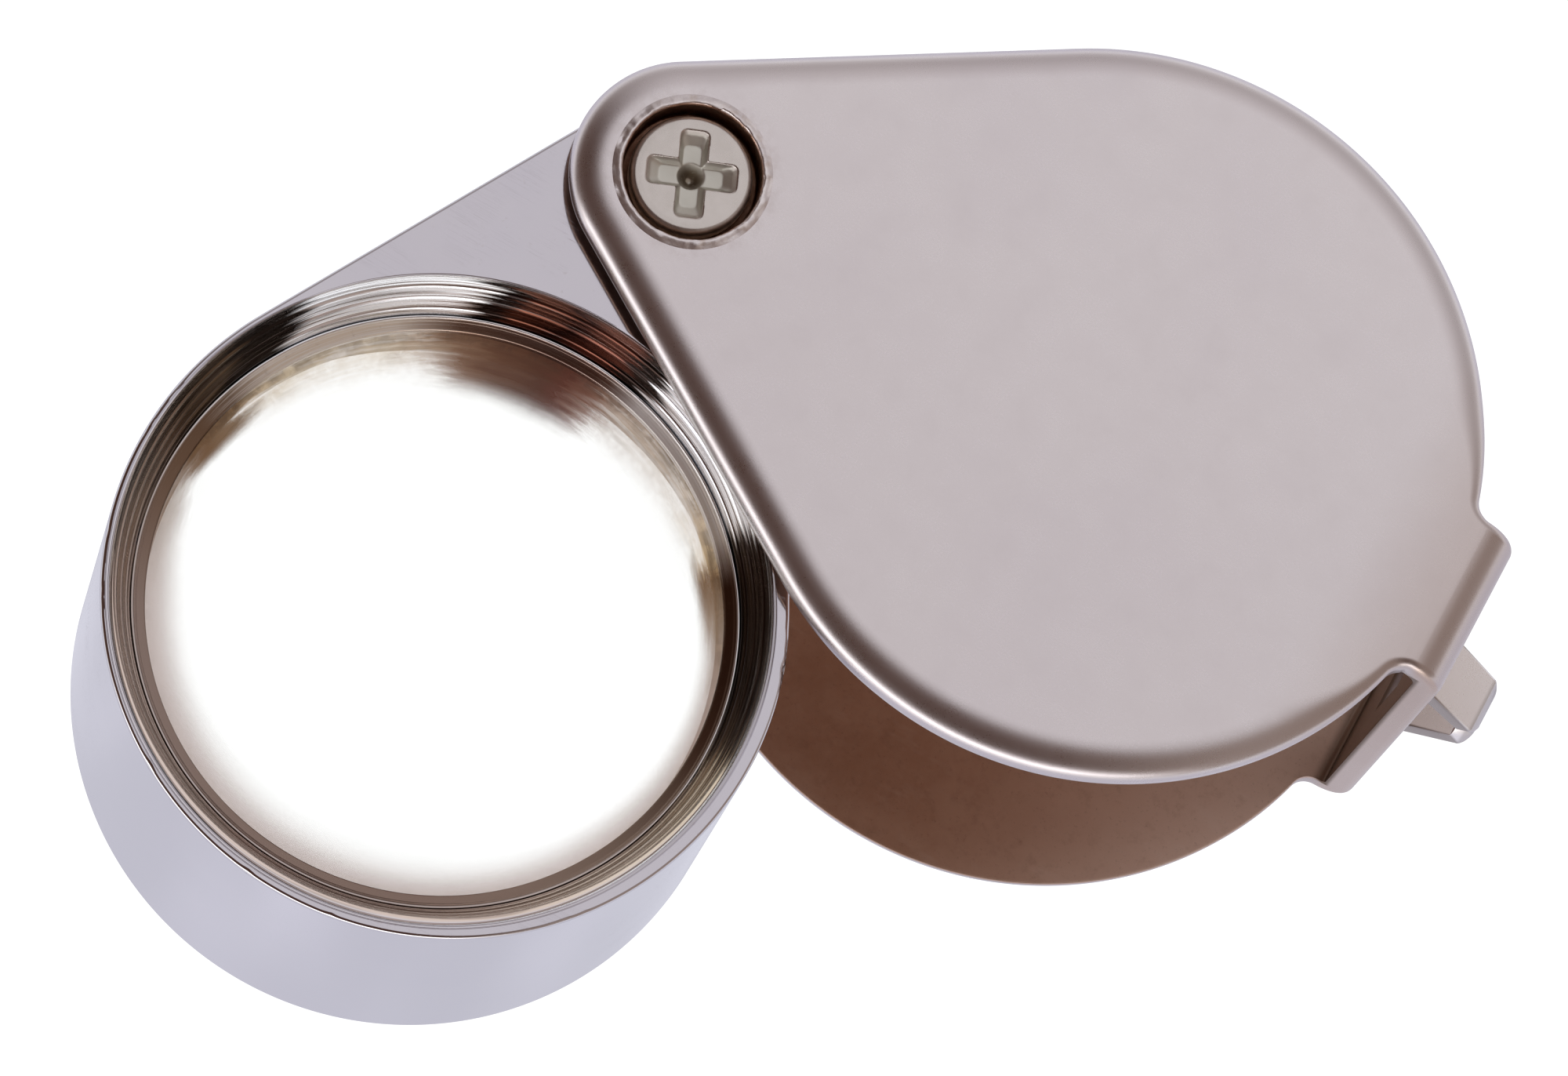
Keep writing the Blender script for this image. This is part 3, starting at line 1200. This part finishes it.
def front_glass_material():
    """Glass whose last millimetres show the ground rim and the tube beyond it."""
    tree = material_tree("front_glass")
    glass = glass_shader(tree, (0.995, 0.998, 1.0), 1.52)
    _, local, (x, y, _), radius, angle = bore_coords(tree)
    wander = tree.noise(tree.join(x * 0.5, y * 0.5, radius * 4.0),
                        scale=1.0, detail=3.0, rough=0.6)
    place = tree.math('FRACT', turn_part(angle) + (wander - 0.5) * 0.045)
    width = tree.ramp(place, RIM_WIDTH, 'EASE')
    dense = tree.ramp(place, RIM_DENSITY)
    streaky = tree.ramp(place, RIM_STREAKS)
    arcs = tree.round_noise(angle, around=2.4, along=radius * 3.4, detail=4.0, rough=0.65)
    blobs = tree.noise(local, scale=1.5, detail=4.0, rough=0.65, distortion=0.8)

    # depth runs from 0 at the ring to 1 at the band's ragged inner border
    ragged = (tree.noise(local, scale=0.7, detail=3.0, rough=0.55)
              + tree.noise(local, scale=4.0, detail=3.0, rough=0.7) * 0.22)
    depth = (FRONT_RING_IN + 0.05 - radius) / width
    depth = depth + (ragged - 0.61) * (0.035 + streaky * 0.13)

    # dense stretches end sharply, thin ones fade and have gaps
    solid = dense.step(off=0.62, on=0.86)
    soft = depth.step(off=1.0, on=0.12) * (1.0 - solid)
    cover = (soft + depth.step(off=1.0, on=0.52) * solid) * dense
    gaps = 1.0 - tree.math('MAXIMUM', blobs.step(off=0.62, on=0.40), dense.step(off=0.6, on=0.9))
    cover = cover * (1.0 - gaps * streaky * 0.36)

    # colour: dirt beside the ring, then light and dark arcs
    shade = tree.ramp(place, RIM_COLOUR)
    near_ring = radius.step(off=FRONT_RING_IN - 0.36, on=FRONT_RING_IN - 0.10)
    dirt = near_ring * (blobs.step(off=0.35, on=0.6) * (0.12 + streaky * 0.45))
    shade = tree.mix(shade, (0.045, 0.03, 0.025), dirt)
    thin = 1.0 - dense.step(off=0.6, on=0.9)
    light_arcs = arcs.step(off=0.50, on=0.62) * 0.8 * (thin * streaky)
    shade = tree.mix(shade, (1.0, 0.955, 0.93), light_arcs)
    dark_arcs = arcs.step(off=0.46, on=0.33) * (streaky * 0.6)
    shade = tree.mix(shade, (0.12, 0.07, 0.04), dark_arcs)

    # light from the table comes up through the rim
    rim = tree.value("BsdfPrincipled", {"Base Color": shade, "Roughness": 0.4, "Metallic": 0.0})
    lit = tree.mix_shaders(0.72, rim, tree.emission(shade, strength=0.95))
    return tree.surface(tree.mix_shaders(cover, glass, lit))


# ------------------------------------------------------------------ surroundings
def floor_material():
    """Pale sweep: bright to the eye and through the lens, cooler in reflections close by."""
    tree = material_tree("pale_sweep")
    seen = tree.seen_directly()
    geometry = tree.node("NewGeometry")
    point = tree.vmath('SCALE', Value(tree, geometry.outputs["Position"]), scale=1000.0)
    x, y, _ = tree.split(point)
    radius = tree.length(x - 10.0, y + 10.0)
    paper = tree.noise(point, scale=0.8, detail=3.0, rough=0.6)
    # by distance, as parts of 1600 mm
    reflected = tree.ramp(radius / 1600.0, [
        (0.0, (0.668, 0.672, 0.757)), (0.03, (0.71, 0.70, 0.79)), (0.12, (1.0, 1.0, 1.02)),
        (0.4, 1.0), (1.0, (0.6, 0.58, 0.57))])
    sweep = tree.noise(tree.vmath('ADD', point, (3.0, 8.0, 0.0)), scale=0.075)
    reflected = tree.mix(tree.vmath('SCALE', reflected, scale=0.95),
                         tree.vmath('SCALE', reflected, scale=1.08),
                         sweep.step(off=0.35, on=0.68))
    direct = tree.mix((1.0, 1.0, 1.0), (0.985, 0.985, 0.985), paper)
    shown = tree.mix_shaders(seen, tree.emission(reflected, strength=1.0),
                             tree.emission(direct, strength=1.12))
    backfacing = Value(tree, geometry.outputs["Backfacing"])
    return tree.surface(tree.mix_shaders(backfacing, shown, tree.value("BsdfTransparent")))


def build_floor():
    size = 1.6                                       # half side, metres
    mesh = bpy.data.meshes.new("floor")
    mesh.from_pydata([(-size, -size, 0), (size, -size, 0), (size, size, 0), (-size, size, 0)],
                     [], [(0, 1, 2, 3)])
    floor = bpy.data.objects.new("floor", mesh)
    bpy.context.scene.collection.objects.link(floor)
    floor.location.z = -0.0002
    mesh.materials.append(floor_material())


def build_world():
    """Soft panel overhead, tipped towards +Y; dark room on the viewer's side and to the right."""
    world = bpy.data.worlds.new("soft_studio")
    bpy.context.scene.world = world
    tree = Tree(world)
    ray = tree.value("TexCoord", output="Generated")
    x, y, z = tree.split(ray)
    panel_axis = (0.0, 0.292, 0.956)
    up = tree.vmath('DOT_PRODUCT', ray, panel_axis)
    sideways = tree.vmath('SUBTRACT', ray, tree.vmath('SCALE', panel_axis, scale=up))
    side_x, side_y, _ = tree.split(tree.vmath('NORMALIZE', sideways))
    viewer = side_y.step(off=0.85, on=0.05)
    right = side_x.step(off=0.35, on=0.85)

    # viewer's side by height, greyer to the right, with a low bright strip
    dark = tree.ramp(z, [
        (0.0, (0.95, 0.93, 0.93)), (0.10, (0.55, 0.50, 0.48)), (0.26, (0.13, 0.080, 0.062)),
        (0.75, (0.075, 0.037, 0.026)), (1.0, (0.11, 0.062, 0.048))], 'EASE')
    dark = tree.mix(dark, (0.36, 0.285, 0.25), right)
    strip = z.step(off=0.05, on=0.14) * z.step(off=0.46, on=0.34)
    strip = strip * (y * -0.94 + x * -0.10).step(off=0.45, on=0.75)
    dark = tree.mix(dark, (2.5, 2.45, 2.45), strip)
    back = tree.ramp(z, [
        (0.0, (0.75, 0.72, 0.72)), (0.35, (0.50, 0.46, 0.46)), (0.80, (0.74, 0.70, 0.71)),
        (1.0, (0.76, 0.72, 0.74))], 'EASE')
    room = tree.mix(back, dark, viewer)

    # the panel reaches further down on the right
    up = up + right * (1.0 - up) * 0.55
    colour = tree.mix(room, (0.86, 0.835, 0.850), up.step(off=0.885, on=0.965))
    colour = tree.mix(colour, (1.05, 1.05, 1.05), tree.seen_directly())
    tree.surface(tree.value("Background", {"Color": colour, "Strength": 1.0}), "OutputWorld")


def build_camera():
    data = bpy.data.cameras.new("camera")
    data.sensor_fit = 'HORIZONTAL'
    data.sensor_width = 36.0
    data.lens = 209.119
    data.clip_start = 0.001
    data.clip_end = 20.0
    camera = bpy.data.objects.new("camera", data)
    bpy.context.scene.collection.objects.link(camera)
    camera.rotation_mode = 'QUATERNION'
    camera.location = (0.0078375, -0.1011967, 0.3144792)
    camera.rotation_quaternion = (0.95731986, 0.14336205, -0.03884887, 0.24794511)
    scene = bpy.context.scene
    scene.camera = camera
    scene.view_settings.view_transform = 'Standard'
    scene.view_settings.look = 'None'
    scene.view_settings.exposure = 0.0
    scene.view_settings.gamma = 1.0


# ------------------------------------------------------------------ assembly
def wear_material(obj, material):
    obj.data.materials.clear()
    obj.data.materials.append(material)


def dress(obj, material, body, node):
    """Give a piece its material and tell the frame what it moves with and replaces."""
    wear_material(obj, material)
    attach(obj, body)
    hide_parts(node)


satin = case_material()
dress(build_case(), satin, "case", "case_shell")
seat_metal = seat_material()
dress(build_front_cup(), seat_metal, "case", "case_shell")
dress(build_rear_cup(), seat_metal, "case", "case_shell")
dress(build_loop(), satin, "case", "case_shell")
dress(build_screw(), screw_material(), "case", "pivot_screw")
dress(build_barrel(), chrome_material(), "lens_body", "lens_barrel")
dress(build_front_ring(), ring_material("polished_front_ring", (0.80, 0.80, 0.82)),
      "lens_body", "front_retaining_ring")
dress(build_rear_ring(), ring_material("polished_rear_ring", (0.78, 0.78, 0.80)),
      "lens_body", "rear_retaining_ring")
dress(build_lens("front_lens_glass", front=(13.15, 1.1), rear=(11.5, -1.3)),
      front_glass_material(), "lens_body", "front_lens")
dress(build_lens("rear_crown_glass", front=(7.65, 1.3), rear=(5.95, -1.0)),
      glass_material("crown_glass", tint=(0.995, 1.0, 0.998), ior=1.52),
      "lens_body", "rear_crown_lens")
dress(build_lens("rear_flint_glass", front=(5.92, -1.0), rear=(4.6, -0.45)),
      glass_material("flint_glass", tint=(1.0, 0.998, 0.99), ior=1.62),
      "lens_body", "rear_flint_lens")
dress(build_spacer(), brass_material(), "lens_body", "lens_spacer")

# pieces that keep their own mesh
nodes = frame["nodes"]
wear_material(nodes["pivot_post"], post_material())
wear_material(nodes["rear_friction_washer"], washer_material(
    "nylon_washer", light=(0.80, 0.77, 0.69), dark=(0.70, 0.66, 0.58), metallic=0.0, rough=0.45))
wear_material(nodes["front_wave_washer"], washer_material(
    "bronze_washer", light=(0.55, 0.37, 0.20), dark=(0.40, 0.26, 0.15), metallic=1.0, rough=0.28))

build_floor()
build_world()
build_camera()
